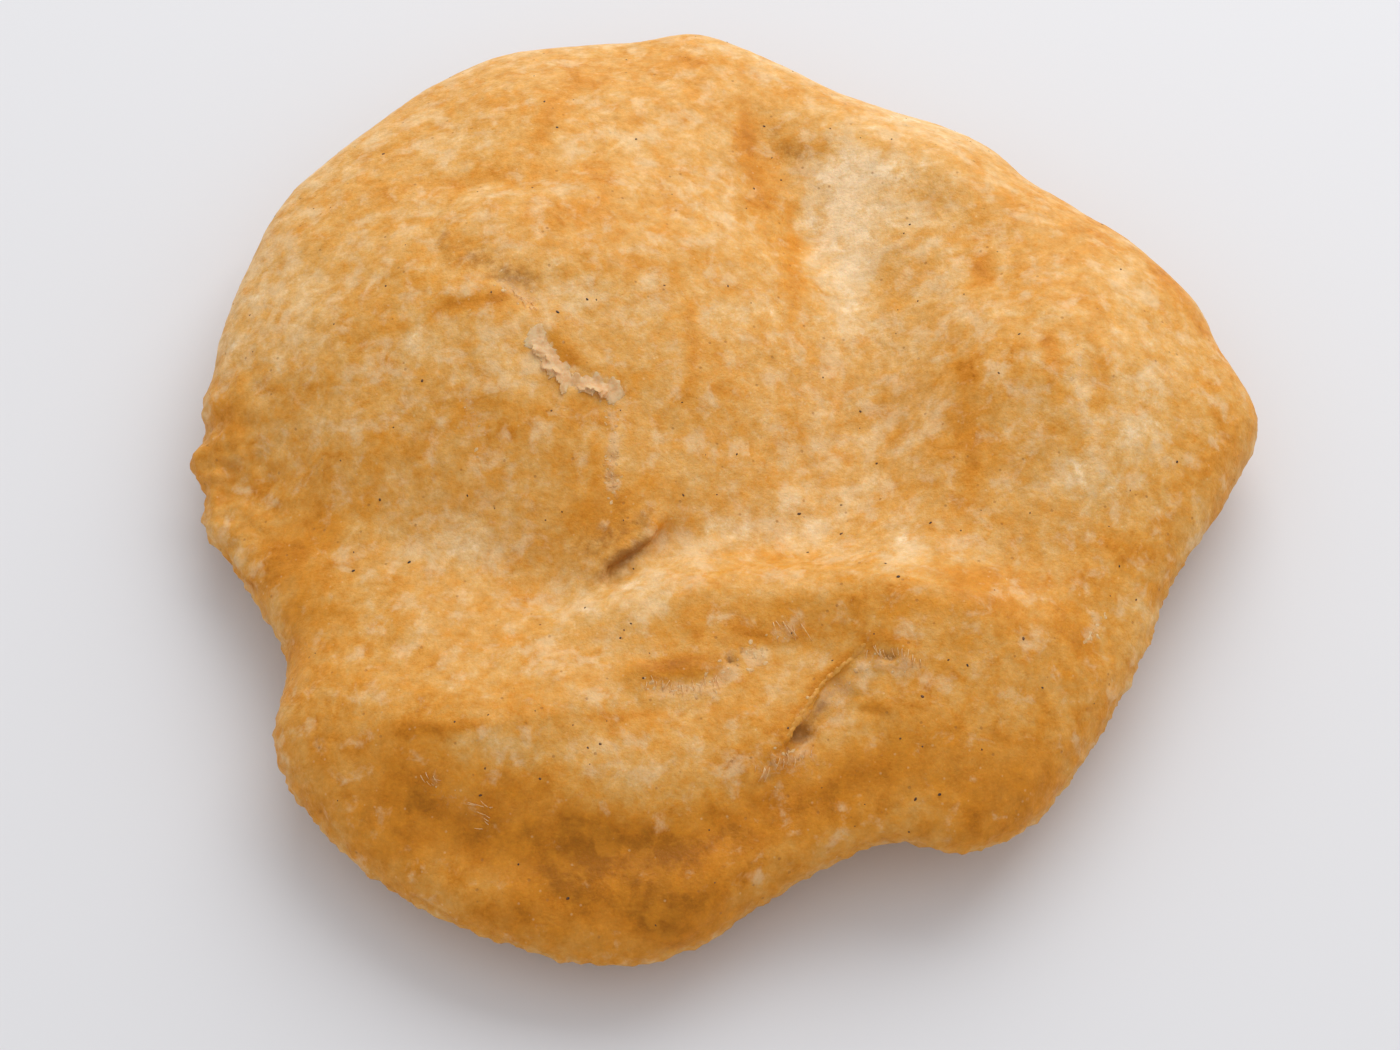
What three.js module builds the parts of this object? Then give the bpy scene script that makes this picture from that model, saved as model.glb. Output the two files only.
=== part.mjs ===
// A fried bake: one hand-patted round of bread dough that puffed, buckled and folded as it
// fried in a pan of oil. Millimetres, +Z up, resting on its own flat sole at z = 0.
// The nearest side, with the folded lobes, faces -Y.

import * as THREE from "three";
import { ImprovedNoise } from "three/addons/math/ImprovedNoise.js";

// ---------------------------------------------------------------- driving dimensions

const RIM_HEIGHT = 7.5; // widest line of the crust above the sole
const CROWN = 17; // top of the crumb where nothing puffed or sank
const MEAN_RADIUS = 57; // the round that was patted out, before it spread unevenly
const SOLE_RADIUS_SHARE = 0.5; // share of the radius that lies flat
const SHOULDER = 2.9; // how squarely the top rolls over into the rim
const HEEL = 2.1; // how squarely the sole rolls up into the rim
const TOP_FACET = 1.76; // edge of a facet on the top crust
const SOLE_FACET = 3.3; // edge of a facet underneath

// The outer edge seen from above, anticlockwise, by its corners.
const OUTLINE = [
  [60.5, 5], [56.5, 15], [55, 19.5], // blunt tip on the right
  [46.5, 30], [36.5, 38], [30, 45], [12.5, 52.5], // long slope behind the right dome
  [-3.5, 61], [-10.5, 59.5], // point at the back
  [-30.5, 56.5], [-46.5, 41.5], [-52.5, 34.5], [-58.3, 17.5], // round back left
  [-60.2, 4], [-59, -8], [-55.5, -13.5], // thin left lip
  [-51.5, -20], [-48.5, -27], [-49, -39], // waist on the left
  [-33, -56], [-13, -62.5], [-3, -60], [3, -55.5], // front left lobe
  [17.5, -49.5], [24.5, -50.5], [32, -46.8], // notch and front right lobe
  [46, -25], [48, -19], [57, -4], // right front
];

// The thin left lip is crimped into small scallops, by bearing in degrees.
const CRIMP_BEARING = 180.5; // tip of the middle scallop
const CRIMP_PITCH = 8;
const CRIMP_SPREAD = 11; // the scallops fade out this far to either side
const CRIMP_DEPTH = 0.8;

// ---------------------------------------------------------------- relief of the top crust

// Puffed domes and sunken hollows: centre, half-lengths along and across, turn in degrees, rise.
const MOUNDS = [
  { name: "left dome", at: [-25, 17], reach: [29, 25], turn: 12, rise: 9 },
  { name: "back shoulder", at: [-18, 45], reach: [24, 8], turn: 8, rise: 2 },
  { name: "right dome", at: [39, 7], reach: [14, 21], turn: -12, rise: 7.5 },
  { name: "back right shoulder", at: [24, 36], reach: [16, 6], turn: -32, rise: 3.5 },
  { name: "front left lobe", at: [-27, -40], reach: [19, 9], turn: 0, rise: 4.5 },
  { name: "front right lobe", at: [25, -36], reach: [15, 9], turn: -8, rise: 3.5 },
  { name: "thin left lip", at: [-54, -5], reach: [8, 9], turn: 10, rise: -6 },
  { name: "swirl in the right dome", at: [40.5, 1], reach: [2.4, 4.5], turn: 8, rise: -1.2 },
];

// Soft valleys and ridges: the line they follow, half-width, and rise, negative if they sink.
const FURROWS = [
  {
    name: "pale valley",
    along: [[4, 43], [7, 32], [12, 20], [14.5, 8], [13.5, -4], [8, -14], [-3, -19.5], [-14, -23]],
    width: 8, rise: -4.4,
  },
  {
    name: "hollow at the head of the valley",
    along: [[2, 46], [4, 41], [6, 36], [8, 30], [11, 22]],
    width: 2.8, rise: -0.9,
  },
  {
    name: "foot of the left dome",
    along: [[-55, -9], [-40, -13.5], [-26, -18.5], [-13, -22]],
    width: 6, rise: -2.5,
  },
  {
    name: "dent in the left dome",
    along: [[-34, 22], [-31.5, 18], [-27, 15.5], [-22, 12.5], [-18, 11.5]],
    width: 2.4, rise: -1,
  },
  {
    name: "arc on the back of the left dome",
    along: [[-37, 31.5], [-29, 30], [-23, 29.5], [-13, 35.5]],
    width: 2, rise: -0.6,
  },
  {
    name: "crease on the right dome",
    along: [[27, 21.5], [31, 15.5], [35, 8.5], [39, 4]],
    width: 2, rise: -0.6,
  },
  {
    name: "front ridge",
    along: [[-18, -31], [-12, -26], [-4, -23], [6, -22], [20, -24.5], [32, -28], [40, -31]],
    width: 5.5, rise: 4,
  },
  {
    name: "groove under the front lobe",
    along: [[-38, -47.5], [-27, -51.5], [-14, -51.5], [-4, -50], [6, -45.5]],
    width: 3.2, rise: -1.7,
  },
];

// Folds, where one sheet of dough laps over its neighbour. The lapping sheet lies to the left
// of the line's direction: it is lifted by lift and pushed over by lap, and the trough beside
// it, a width away from the line, sinks by depth.
const FOLDS = [
  {
    name: "crevice below the left dome",
    along: [[-18, -20.5], [-13.5, -19], [-9.8, -16.2], [-7, -11.5]],
    width: 2.1, depth: 1.6, lift: 0.5, lap: 1,
  },
  {
    name: "upper fold",
    along: [[-37, -40.2], [-26, -41], [-17, -38.8], [-11, -34.2], [-4.6, -33], [2, -29.8]],
    width: 2.3, depth: 0.6, lift: 0.4, lap: 0.4,
  },
  {
    name: "right fold",
    along: [[2, -47.5], [6.4, -39.8], [9.5, -35], [13.4, -30.8], [17, -30.4], [22, -33]],
    width: 2, depth: 1, lift: 0.5, lap: 0.7,
  },
];

// ---------------------------------------------------------------- helpers

const noise = new ImprovedNoise();

function bell(x) {
  return Math.exp(-x * x);
}

function moundHeight({ at, reach, turn, rise }, x, y) {
  const angle = THREE.MathUtils.degToRad(turn);
  const along = (x - at[0]) * Math.cos(angle) + (y - at[1]) * Math.sin(angle);
  const across = (y - at[1]) * Math.cos(angle) - (x - at[0]) * Math.sin(angle);
  return rise * bell(Math.hypot(along / reach[0], across / reach[1]));
}

function smoothLine(points, closed = false) {
  const corners = points.map(([x, y]) => new THREE.Vector3(x, y, 0));
  return new THREE.CatmullRomCurve3(corners, closed, "centripetal");
}

// The nearest sample of a line: signed distance, positive to its left, the share along it,
// and the unit direction that points to its left.
const LINE_SAMPLES = 80;

function lineSampler(points) {
  const samples = smoothLine(points).getSpacedPoints(LINE_SAMPLES);
  return (x, y) => {
    let best = 0;
    let bestDistance = Infinity;
    samples.forEach((p, i) => {
      const distance = Math.hypot(x - p.x, y - p.y);
      if (distance < bestDistance) [best, bestDistance] = [i, distance];
    });
    const before = samples[Math.max(best - 1, 0)];
    const after = samples[Math.min(best + 1, LINE_SAMPLES)];
    const left = new THREE.Vector2(before.y - after.y, after.x - before.x).normalize();
    const side = (x - samples[best].x) * left.x + (y - samples[best].y) * left.y;
    return { distance: Math.sign(side || 1) * bestDistance, share: best / LINE_SAMPLES, left };
  };
}

// A line's relief starts faint at its ends and is full a quarter of the way in.
const FAINT_END = -0.08;
const FULL_SHARE = 0.25;

function taper(share) {
  return THREE.MathUtils.smoothstep(Math.min(share, 1 - share), FAINT_END, FULL_SHARE);
}

for (const line of [...FURROWS, ...FOLDS]) line.nearest = lineSampler(line.along);

// ---------------------------------------------------------------- the crust's height

function furrowHeight({ nearest, width, rise }, x, y) {
  const { distance, share } = nearest(x, y);
  return rise * taper(share) * bell(distance / width);
}

// How far, in fold widths, the lifted edge and the lapping push reach to either side.
const LIFT_REACH = 1.6;
const LAP_REACH_OVER = 1.3;
const LAP_REACH_UNDER = 0.67;

function foldShift({ nearest, width, depth, lift, lap }, x, y) {
  const { distance, share, left } = nearest(x, y);
  const fade = taper(share);
  const reach = Math.abs(distance) / width;
  const under = distance < 0;
  const trough = under ? reach * Math.exp((1 - reach * reach) / 2) : 0;
  const lapReach = under ? LAP_REACH_UNDER : LAP_REACH_OVER;
  return {
    rise: fade * (lift * bell(reach / LIFT_REACH) - depth * trough),
    push: left.multiplyScalar(-lap * fade * bell(reach / lapReach)),
  };
}

const COARSE_WAVE = 15; // distance between the larger of the crust's uneven swells
const FINE_WAVE = 7; // distance between the blisters
const COARSE_SWELL = 0.8;
const BLISTER_SWELL = 0.45;

function unevenness(x, y, z) {
  const coarse = noise.noise(x / COARSE_WAVE, y / COARSE_WAVE, z / COARSE_WAVE + 3);
  const fine = noise.noise(x / FINE_WAVE, y / FINE_WAVE, z / FINE_WAVE + 9);
  return COARSE_SWELL * coarse + BLISTER_SWELL * fine;
}

function topPoint(x, y, roll) {
  let crown = CROWN + unevenness(x, y, 20);
  for (const mound of MOUNDS) crown += moundHeight(mound, x, y);
  for (const furrow of FURROWS) crown += furrowHeight(furrow, x, y);
  const push = new THREE.Vector2();
  for (const fold of FOLDS) {
    const shift = foldShift(fold, x, y);
    crown += shift.rise;
    push.add(shift.push);
  }
  const rim = rimHeight(x, y);
  return [x + push.x * roll, y + push.y * roll, rim + (crown - rim) * roll];
}

// The rim stands higher over the notch between the two front lobes, where the bake arches
// clear of the pan, and lower along the thin left lip. All round it rises and falls a little.
const RIM_SWELLS = [
  { name: "arch over the notch", at: [18, -50], reach: [8, 9], turn: 0, rise: 1.5 },
  { name: "thin left lip", at: [-60, -3], reach: [12, 14], turn: 0, rise: -1.5 },
];
const RIM_WAVE = 24; // distance between the rises
const RIM_WAVER = 2.2; // how far they rise and fall
const NOTCH_UNDERCUT = { at: [18, -51], reach: [7, 9], turn: 0, rise: 2 };
const UNDERSIDE_SWELL = 4; // how strongly the heel buckles between the sole and the rim

function rimHeight(x, y) {
  let height = RIM_HEIGHT + RIM_WAVER * noise.noise(x / RIM_WAVE, y / RIM_WAVE, 0.5);
  for (const swell of RIM_SWELLS) height += moundHeight(swell, x, y);
  return height;
}

// The flat sole keeps to z = 0. The heel around it buckles, most halfway up to the rim.
function solePoint(x, y, lift) {
  const undercut = moundHeight(NOTCH_UNDERCUT, x, y) * Math.min(1, lift * 4);
  const buckle = UNDERSIDE_SWELL * unevenness(x, y, -20) * lift * (1 - lift);
  return [x, y, Math.max(0, rimHeight(x, y) * lift + undercut + buckle)];
}

// ---------------------------------------------------------------- rings of the closed crust

const edge = smoothLine(OUTLINE, true);
edge.arcLengthDivisions = 800;

// A point of the outline drawn in to a share of its radius. The outline's corners fade inwards
// until, a quarter of the way out from the middle, the rings are plain circles.
const ROUND_SHARE = 0.25;

function planPoint(around, share) {
  const corner = edge.getPointAt(around);
  const bearing = Math.atan2(corner.y, corner.x);
  const rimRadius = Math.hypot(corner.x, corner.y) + crimp(bearing);
  const shape = THREE.MathUtils.smoothstep(share, ROUND_SHARE, 1);
  const radius = share * THREE.MathUtils.lerp(MEAN_RADIUS, rimRadius, shape);
  return [radius * Math.cos(bearing), radius * Math.sin(bearing)];
}

function crimp(bearing) {
  const degrees = THREE.MathUtils.euclideanModulo(THREE.MathUtils.radToDeg(bearing), 360);
  const offset = degrees - CRIMP_BEARING;
  const scallop = Math.cos((2 * Math.PI * offset) / CRIMP_PITCH);
  return CRIMP_DEPTH * scallop * bell(offset / CRIMP_SPREAD);
}

// Steps along a quarter of a superellipse, evenly spaced by length: [share of radius, roll].
const PROFILE_SAMPLES = 400;

function quarterProfile(exponent, run, rise, step) {
  const fine = Array.from({ length: PROFILE_SAMPLES + 1 }, (_, i) => {
    const angle = (i / PROFILE_SAMPLES) * (Math.PI / 2);
    return [Math.sin(angle) ** (2 / exponent), Math.cos(angle) ** (2 / exponent)];
  });
  const lengths = [0];
  for (let i = 1; i < fine.length; i++) {
    const across = (fine[i][0] - fine[i - 1][0]) * run;
    const up = (fine[i][1] - fine[i - 1][1]) * rise;
    lengths.push(lengths[i - 1] + Math.hypot(across, up));
  }
  const total = lengths.at(-1);
  const steps = Math.round(total / step);
  return Array.from({ length: steps + 1 }, (_, i) => {
    const wanted = (i / steps) * total;
    const after = Math.max(1, lengths.findIndex((l) => l >= wanted - 1e-9));
    const part = (wanted - lengths[after - 1]) / (lengths[after] - lengths[after - 1]);
    return [0, 1].map((k) => THREE.MathUtils.lerp(fine[after - 1][k], fine[after][k], part));
  });
}

const ROW_SHARE = 0.87; // height of an even-sided facet, as a share of its edge

function topRings() {
  return quarterProfile(SHOULDER, MEAN_RADIUS, CROWN - RIM_HEIGHT, TOP_FACET * ROW_SHARE)
    .map(([share, roll]) => ({ share, height: roll, facet: TOP_FACET, point: topPoint }));
}

function soleRings() {
  const heelRun = MEAN_RADIUS * (1 - SOLE_RADIUS_SHARE);
  const heel = quarterProfile(HEEL, heelRun, RIM_HEIGHT, SOLE_FACET * ROW_SHARE).map(
    ([share, roll]) => [SOLE_RADIUS_SHARE + (1 - SOLE_RADIUS_SHARE) * share, 1 - roll],
  );
  const flatSteps = Math.round((MEAN_RADIUS * SOLE_RADIUS_SHARE) / (SOLE_FACET * ROW_SHARE));
  const flat = Array.from({ length: flatSteps }, (_, i) => [
    (i / flatSteps) * SOLE_RADIUS_SHARE,
    0,
  ]);
  return [...flat, ...heel]
    .slice(0, -1) // the rim itself belongs to the top
    .map(([share, height]) => ({ share, height, facet: SOLE_FACET, point: solePoint }));
}

// From the middle of the sole, out and over the rim, to the middle of the top.
const rings = [...soleRings(), ...topRings().reverse()];

// ---------------------------------------------------------------- the closed mesh

const positions = [];
for (const ring of rings) {
  const girth = 2 * Math.PI * MEAN_RADIUS * ring.share;
  ring.count = ring.share === 0 ? 1 : Math.max(6, Math.round(girth / ring.facet));
  ring.first = positions.length / 3;
  for (let i = 0; i < ring.count; i++) {
    const [x, y] = planPoint(i / ring.count, ring.share);
    positions.push(...ring.point(x, y, ring.height));
  }
}

// Sews two neighbouring rings together, stepping along whichever lags behind.
function sew(lower, upper) {
  const faces = [];
  let a = 0;
  let b = 0;
  while (a < lower.count || b < upper.count) {
    const low = lower.first + (a % lower.count);
    const high = upper.first + (b % upper.count);
    const lowerNext = lower.count === 1 ? Infinity : (a + 1) / lower.count;
    const upperNext = upper.count === 1 ? Infinity : (b + 1) / upper.count;
    const lowerSteps = a < lower.count && lower.count > 1;
    const upperSteps = b < upper.count && upper.count > 1;
    if (lowerSteps && (!upperSteps || lowerNext <= upperNext)) {
      faces.push(low, lower.first + ((a + 1) % lower.count), high);
      a++;
    } else if (upperSteps) {
      faces.push(low, upper.first + ((b + 1) % upper.count), high);
      b++;
    } else break;
  }
  return faces;
}

const faces = rings.slice(1).flatMap((ring, i) => sew(rings[i], ring));

const geometry = new THREE.BufferGeometry();
geometry.setAttribute("position", new THREE.Float32BufferAttribute(positions, 3));
geometry.setIndex(faces);
geometry.computeVertexNormals();

// The origin goes under the middle of the bake, on the surface it rests on.
geometry.computeBoundingBox();
const middle = geometry.boundingBox.getCenter(new THREE.Vector3());
geometry.translate(-middle.x, -middle.y, 0);

const friedCrust = new THREE.MeshStandardMaterial({
  color: 0xdfa358,
  roughness: 0.62,
  metalness: 0,
  flatShading: true,
});

const bake = new THREE.Mesh(geometry, friedCrust);
bake.name = "bake";

const friedBake = new THREE.Group();
friedBake.add(bake);

export default friedBake;
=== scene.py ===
# %% [markdown]
# # A fried bake
# A fried bake is a round of leavened dough, patted out by hand and fried in a pan of oil. It puffs
# into domes, sinks into valleys between them and folds over at its edge. The whole is one piece of
# bread, so this lesson is about one skin: how it swells, wrinkles, tears and browns.
# The frame gives the true form as a coarse solid. Everything here is fitted to that solid.

# %% Load the frame
import math
import random

import bpy
import numpy as np
from mathutils import Matrix, Vector, noise


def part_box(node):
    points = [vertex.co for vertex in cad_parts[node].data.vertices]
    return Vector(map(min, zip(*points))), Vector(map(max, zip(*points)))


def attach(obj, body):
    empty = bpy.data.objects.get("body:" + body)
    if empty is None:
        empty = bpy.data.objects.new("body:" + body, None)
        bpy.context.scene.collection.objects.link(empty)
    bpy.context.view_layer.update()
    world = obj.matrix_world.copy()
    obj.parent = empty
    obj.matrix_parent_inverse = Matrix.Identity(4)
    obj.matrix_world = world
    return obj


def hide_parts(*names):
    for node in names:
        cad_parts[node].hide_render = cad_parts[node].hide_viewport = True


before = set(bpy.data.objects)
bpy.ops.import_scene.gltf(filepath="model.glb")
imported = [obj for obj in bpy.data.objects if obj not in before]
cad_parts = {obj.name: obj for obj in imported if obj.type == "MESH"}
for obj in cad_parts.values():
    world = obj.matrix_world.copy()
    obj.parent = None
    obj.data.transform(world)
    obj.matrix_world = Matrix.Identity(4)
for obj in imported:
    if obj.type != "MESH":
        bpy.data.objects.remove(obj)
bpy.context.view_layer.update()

MM = 0.001
bake_low, bake_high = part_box("bake")
print("the bake is", [round(side / MM, 1) for side in bake_high - bake_low], "mm")

# %% [markdown]
# The camera comes first, because every later choice is judged through it. It looks down at the
# bake from the side with the folded lobes, with a long lens, as one photographs food on a table.

# %% Camera
CAMERA_ELEVATION = math.radians(58)
CAMERA_DISTANCE = 437 * MM
CAMERA_LENS = 100  # mm, on a sensor 36 mm wide
CAMERA_AIM = Vector((-3.05, -7.7, 8.0)) * MM
NEAREST_SEEN = 10 * MM

camera_data = bpy.data.cameras.new("camera")
camera_data.lens = CAMERA_LENS
camera_data.clip_start = NEAREST_SEEN
camera = bpy.data.objects.new("camera", camera_data)
bpy.context.scene.collection.objects.link(camera)
camera.rotation_euler = (math.radians(90) - CAMERA_ELEVATION, 0, 0)
camera.location = CAMERA_AIM + CAMERA_DISTANCE * Vector(
    (0, -math.cos(CAMERA_ELEVATION), math.sin(CAMERA_ELEVATION))
)
bpy.context.scene.camera = camera
print("camera at", [round(c, 3) for c in camera.location], "m")

# %% [markdown]
# Light for bread: one large soft window of light behind and above the food, so that its relief
# throws soft shade towards the viewer, and a weak sky that keeps the shade from going black.
# The plain "Standard" view keeps the colours of a crust as they were chosen.

# %% Light
KEY_PLACE = Vector((0.2, 0.56, 0.5))  # m
KEY_SIZE = 0.8  # m
KEY_POWER = 4.7  # W
SKY_COLOUR = (0.93, 0.93, 0.95, 1)
SKY_STRENGTH = 0.7

key_data = bpy.data.lights.new("window", "AREA")
key_data.shape = "SQUARE"
key_data.size = KEY_SIZE
key_data.energy = KEY_POWER
key = bpy.data.objects.new("window", key_data)
bpy.context.scene.collection.objects.link(key)
key.location = KEY_PLACE
key.rotation_euler = (CAMERA_AIM - KEY_PLACE).to_track_quat("-Z", "Y").to_euler()

world = bpy.data.worlds.new("sky")
world.use_nodes = True
world.node_tree.nodes["Background"].inputs["Color"].default_value = SKY_COLOUR
world.node_tree.nodes["Background"].inputs["Strength"].default_value = SKY_STRENGTH
bpy.context.scene.world = world
bpy.context.scene.view_settings.view_transform = "Standard"
print("a soft light", KEY_SIZE, "m wide, and a sky of strength", SKY_STRENGTH)

# %% [markdown]
# A colour is written as the sRGB hex that a colour picker shows, and one function turns it into
# the linear numbers that the shaders mix. Another adds any node with its settings and links, so a
# material reads as a list of what it is made of.

# %% Helpers for materials
def colour(code):
    """The linear RGBA of an sRGB hex such as 'E3B469'."""
    srgb = [int(code[i:i + 2], 16) / 255 for i in (0, 2, 4)]
    return [c / 12.92 if c <= 0.04045 else ((c + 0.055) / 1.055) ** 2.4 for c in srgb] + [1.0]


def node(tree, kind, settings, inputs):
    """Adds a node. Each input is a number, a colour, or another node's output to link."""
    made = tree.nodes.new("ShaderNode" + kind)
    for name, value in settings.items():
        setattr(made, name, value)
    for name, value in inputs.items():
        if isinstance(value, bpy.types.NodeSocket):
            tree.links.new(value, made.inputs[name])
        else:
            made.inputs[name].default_value = value
    return made


def new_material(name):
    """An empty material: its tree, and its Principled shader wired to the output."""
    material = bpy.data.materials.new(name)
    material.use_nodes = True
    return material, material.node_tree, material.node_tree.nodes["Principled BSDF"]


print("a golden crust, D8953B, is", [round(c, 3) for c in colour("D8953B")], "in linear numbers")

# %% [markdown]
# The floor is a plain pale sheet of matt paper. It only catches the shadow under the bake and
# is no part of the object.

# %% Floor
FLOOR_SIDE = 4  # m, wide enough to fill every view
PAPER_ROUGHNESS = 0.9

bpy.ops.object.select_all(action="DESELECT")
bpy.ops.mesh.primitive_plane_add(size=FLOOR_SIDE)
floor = bpy.context.object
floor.name = "floor"
paper, _, paper_shader = new_material("matt_paper")
paper_shader.inputs["Base Color"].default_value = colour("E2E2E4")
paper_shader.inputs["Roughness"].default_value = PAPER_ROUGHNESS
floor.data.materials.append(paper)
print("a paper floor", FLOOR_SIDE, "m wide")

# %% [markdown]
# ## The crust
# On the real bake the crust is a skin under half a millimetre thick over soft crumb. The coarse
# solid already has the domes, valley, folds and lobes. A copy of it is merged into one skin and
# cut finer until an edge is under half a millimetre, which is fine enough for wrinkles and
# blisters. Smoothing then takes the facets away and leaves the form.

# %% Copy the solid and cut it finer
CUTS = 3  # each facet becomes 16
FACET_SMOOTHING = 9  # rounds
WELD = 0.001 * MM

bpy.ops.object.select_all(action="DESELECT")
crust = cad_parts["bake"].copy()
crust.data = crust.data.copy()
crust.name = crust.data.name = "crust"
crust.parent = None
for tag in list(crust.keys()):
    del crust[tag]
bpy.context.scene.collection.objects.link(crust)
crust.select_set(True)
bpy.context.view_layer.objects.active = crust

bpy.ops.object.mode_set(mode="EDIT")
bpy.ops.mesh.select_all(action="SELECT")
bpy.ops.mesh.remove_doubles(threshold=WELD)
bpy.ops.mesh.normals_make_consistent(inside=False)
bpy.ops.mesh.subdivide(number_cuts=CUTS, smoothness=0)
bpy.ops.mesh.vertices_smooth(factor=0.5, repeat=FACET_SMOOTHING)
bpy.ops.object.mode_set(mode="OBJECT")
print("crust:", len(crust.data.polygons), "facets")

# %% [markdown]
# The wrinkles and dents of the skin will be painted on it by place. For that the script needs to
# know where each vertex lies and which way it faces. Noise of a few sizes makes every painted
# edge wander a little, because dough never folds along a ruler.

# %% Measure the skin
def places(piece):
    """All vertex positions, in millimetres."""
    flat = np.empty(len(piece.data.vertices) * 3, np.float32)
    piece.data.vertices.foreach_get("co", flat)
    return flat.reshape(-1, 3) / MM


def facings(piece):
    """All vertex normals."""
    flat = np.empty(len(piece.data.vertices) * 3, np.float32)
    piece.data.vertex_normals.foreach_get("vector", flat)
    return flat.reshape(-1, 3)


def speckle(points, size, seed):
    """Smooth noise from about -1 to 1 at each point, with lumps of a size in millimetres."""
    shift = Vector((seed * 7.3, seed * 3.1, seed * 5.7))
    return np.array([noise.noise(Vector(p) / size + shift) for p in points.tolist()], np.float32)


def smooth_step(value, low, high):
    """0 below low, 1 above high, with a soft rise between."""
    share = np.clip((value - low) / (high - low), 0, 1)
    return share * share * (3 - 2 * share)


WANDER_SIZES = {6.5: 0.8, 2.6: 1.0, 1.2: 0.4}  # mm: share
UNDER_TURN, TOP_TURN = -0.2, 0.25  # upward part of the normal where the top ends and is full

start = places(crust)
start_facing = facings(crust)
on_top = smooth_step(start_facing[:, 2], UNDER_TURN, TOP_TURN)
wander = np.stack([
    sum(share * speckle(start, size, seed) for size, share in WANDER_SIZES.items())
    for seed in (1, 2)
], axis=1)
print("vertices:", len(start), " on top:", int(on_top.sum()))

# %% [markdown]
# A wrinkle follows a line and a dent fills a patch. Lines are drawn through a few corners, in
# millimetres seen from above. Both give each vertex a weight between 0 and 1.

# %% Helpers for painting
def path(corners, samples=64):
    """A smooth line through the given corners."""
    ends = np.array([corners[0], *corners, corners[-1]], np.float32)
    t = np.linspace(0, len(corners) - 1, samples)
    i = np.minimum(t.astype(int), len(corners) - 2)
    u = (t - i)[:, None]
    a, b, c, d = (ends[i + k] for k in range(4))
    return 0.5 * (2 * b + (c - a) * u + (2 * a - 5 * b + 4 * c - d) * u**2
                  + (3 * b - a - 3 * c + d) * u**3)


def trace(corners, drift=0.6):
    """Distance from a line in mm, positive to its left, and the share of the way along it."""
    line = path(corners).astype(np.float32)
    gap = (start[:, None, :2] + drift * wander[:, None]) - line[None]
    far = np.hypot(gap[..., 0], gap[..., 1])
    near = far.argmin(1)
    offset = gap[np.arange(len(near)), near]
    heading = np.gradient(line, axis=0)[near]
    side = np.where(heading[:, 0] * offset[:, 1] >= heading[:, 1] * offset[:, 0], 1, -1)
    return side * far.min(1), near / (len(line) - 1)


def along_line(corners, width, drift=0.6, fade=0.15):
    """Weight 1 on a line, gone a width or two to either side, fading out at both ends."""
    distance, share = trace(corners, drift)
    ends = smooth_step(np.minimum(share, 1 - share), -0.01, fade)
    return np.exp(-((distance / width) ** 2)) * ends * on_top


MOST_DRIFT = 1.4  # mm, for the edge of a wide patch


def patch(centre, reach, turn=0.0, drift=None):
    """Weight 1 in the middle of a soft oval patch, with an uneven edge."""
    angle = math.radians(turn)
    drift = min(MOST_DRIFT, 0.4 * min(reach)) if drift is None else drift
    offset = start[:, :2] + drift * wander - np.array(centre, np.float32)
    across = offset[:, 0] * math.cos(angle) + offset[:, 1] * math.sin(angle)
    ahead = offset[:, 1] * math.cos(angle) - offset[:, 0] * math.sin(angle)
    return np.exp(-((across / reach[0]) ** 2 + (ahead / reach[1]) ** 2)) * on_top


print("a patch 5 mm round covers", int((patch((0, 0), (5, 5)) > 0.5).sum()), "vertices")

# %% [markdown]
# A weight says where the skin moves, and a Displace modifier says how far, as a brush does when
# one sculpts by hand. Applying it at once keeps the mesh plain for the next stroke.

# %% Helper for pressing
WEIGHT_STEPS = 100


def press(name, weight, depth, direction="NORMAL", texture=None, middle=0.0):
    """Moves the painted skin by a depth in mm, negative inwards, and keeps the result."""
    group = crust.vertex_groups.new(name=name)
    levels = np.rint(np.clip(weight, 0, 1) * WEIGHT_STEPS).astype(int)
    for level in np.unique(levels[levels > 0]):
        group.add(np.nonzero(levels == level)[0].tolist(), level / WEIGHT_STEPS, "REPLACE")
    bpy.context.view_layer.objects.active = crust
    modifier = crust.modifiers.new(name, "DISPLACE")
    modifier.direction = direction
    modifier.strength = depth * MM
    modifier.mid_level = middle
    modifier.vertex_group = group.name
    if texture:
        modifier.texture = texture
        modifier.texture_coords = "LOCAL"
    bpy.ops.object.modifier_apply(modifier=modifier.name)
    crust.vertex_groups.remove(crust.vertex_groups[name])


print("strokes are pressed in", WEIGHT_STEPS, "steps of weight")

# %% [markdown]
# Where one sheet of dough laps over another, the skin on one side of a line swells into a lip
# and the skin on the other side sinks into a hollow. Both start at nothing on the line itself,
# are greatest a width away from it and fade beyond. A sharp fold is a narrow one whose lip is
# also pushed sideways over the hollow.

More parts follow.
